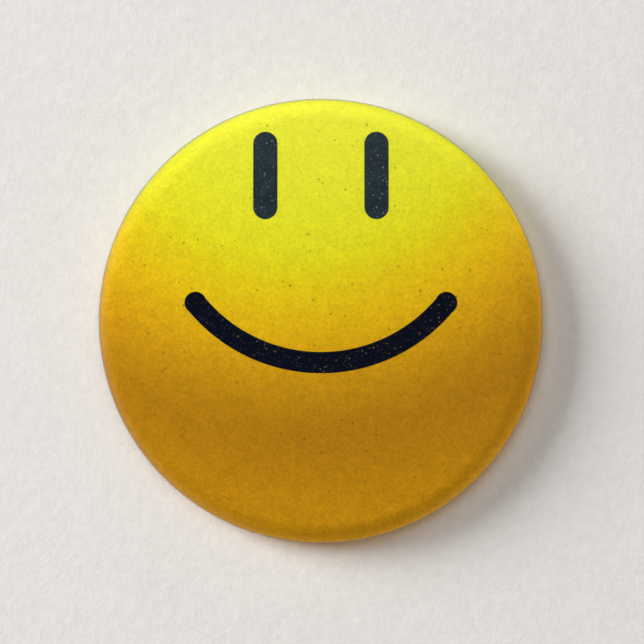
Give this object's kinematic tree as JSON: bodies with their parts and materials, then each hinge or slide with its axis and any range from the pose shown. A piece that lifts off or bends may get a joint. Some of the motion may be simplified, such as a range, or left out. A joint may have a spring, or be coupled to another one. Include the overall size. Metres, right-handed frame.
{
  "type": "pin-back button badge",
  "caption": "Round domed button badge with a printed smiling face under clear film, a pressed metal back and a hinged spring-wire pin.",
  "frame": {"origin": "centre of the plane that the back rim lays on the cloth", "axes": "worn upright: +Z towards the top of the face, -Y out of the face, +Y out of the back"},
  "size_m": [0.0572, 0.0068, 0.0572],
  "materials": {
    "clear_film": "clear glossy polyester film",
    "printed_paper": "printed coated paper, lemon at the top to amber at the bottom",
    "eye_ink": "slate ink",
    "mouth_ink": "near-black navy ink",
    "shell_tinplate": "bright tinplate",
    "plate_tinplate": "bright pressed tinplate",
    "pin_wire": "nickel-plated spring wire"
  },
  "bodies": {
    "badge": {"clear_film": "clear_film", "printed_paper": "printed_paper", "ink_eyes": "eye_ink", "ink_mouth": "mouth_ink", "front_shell": "shell_tinplate", "back_plate": "plate_tinplate", "pin_spring": "pin_wire"},
    "needle": {"pin_needle": "pin_wire"}
  },
  "joints": [
    {"name": "pin_open", "type": "hinge", "parent": "badge", "child": "needle", "pos_m": [0.016, -0.00136, 0.00481], "axis": [0, 0.7071, -0.7071], "range_deg": [0, 30]}
  ]
}
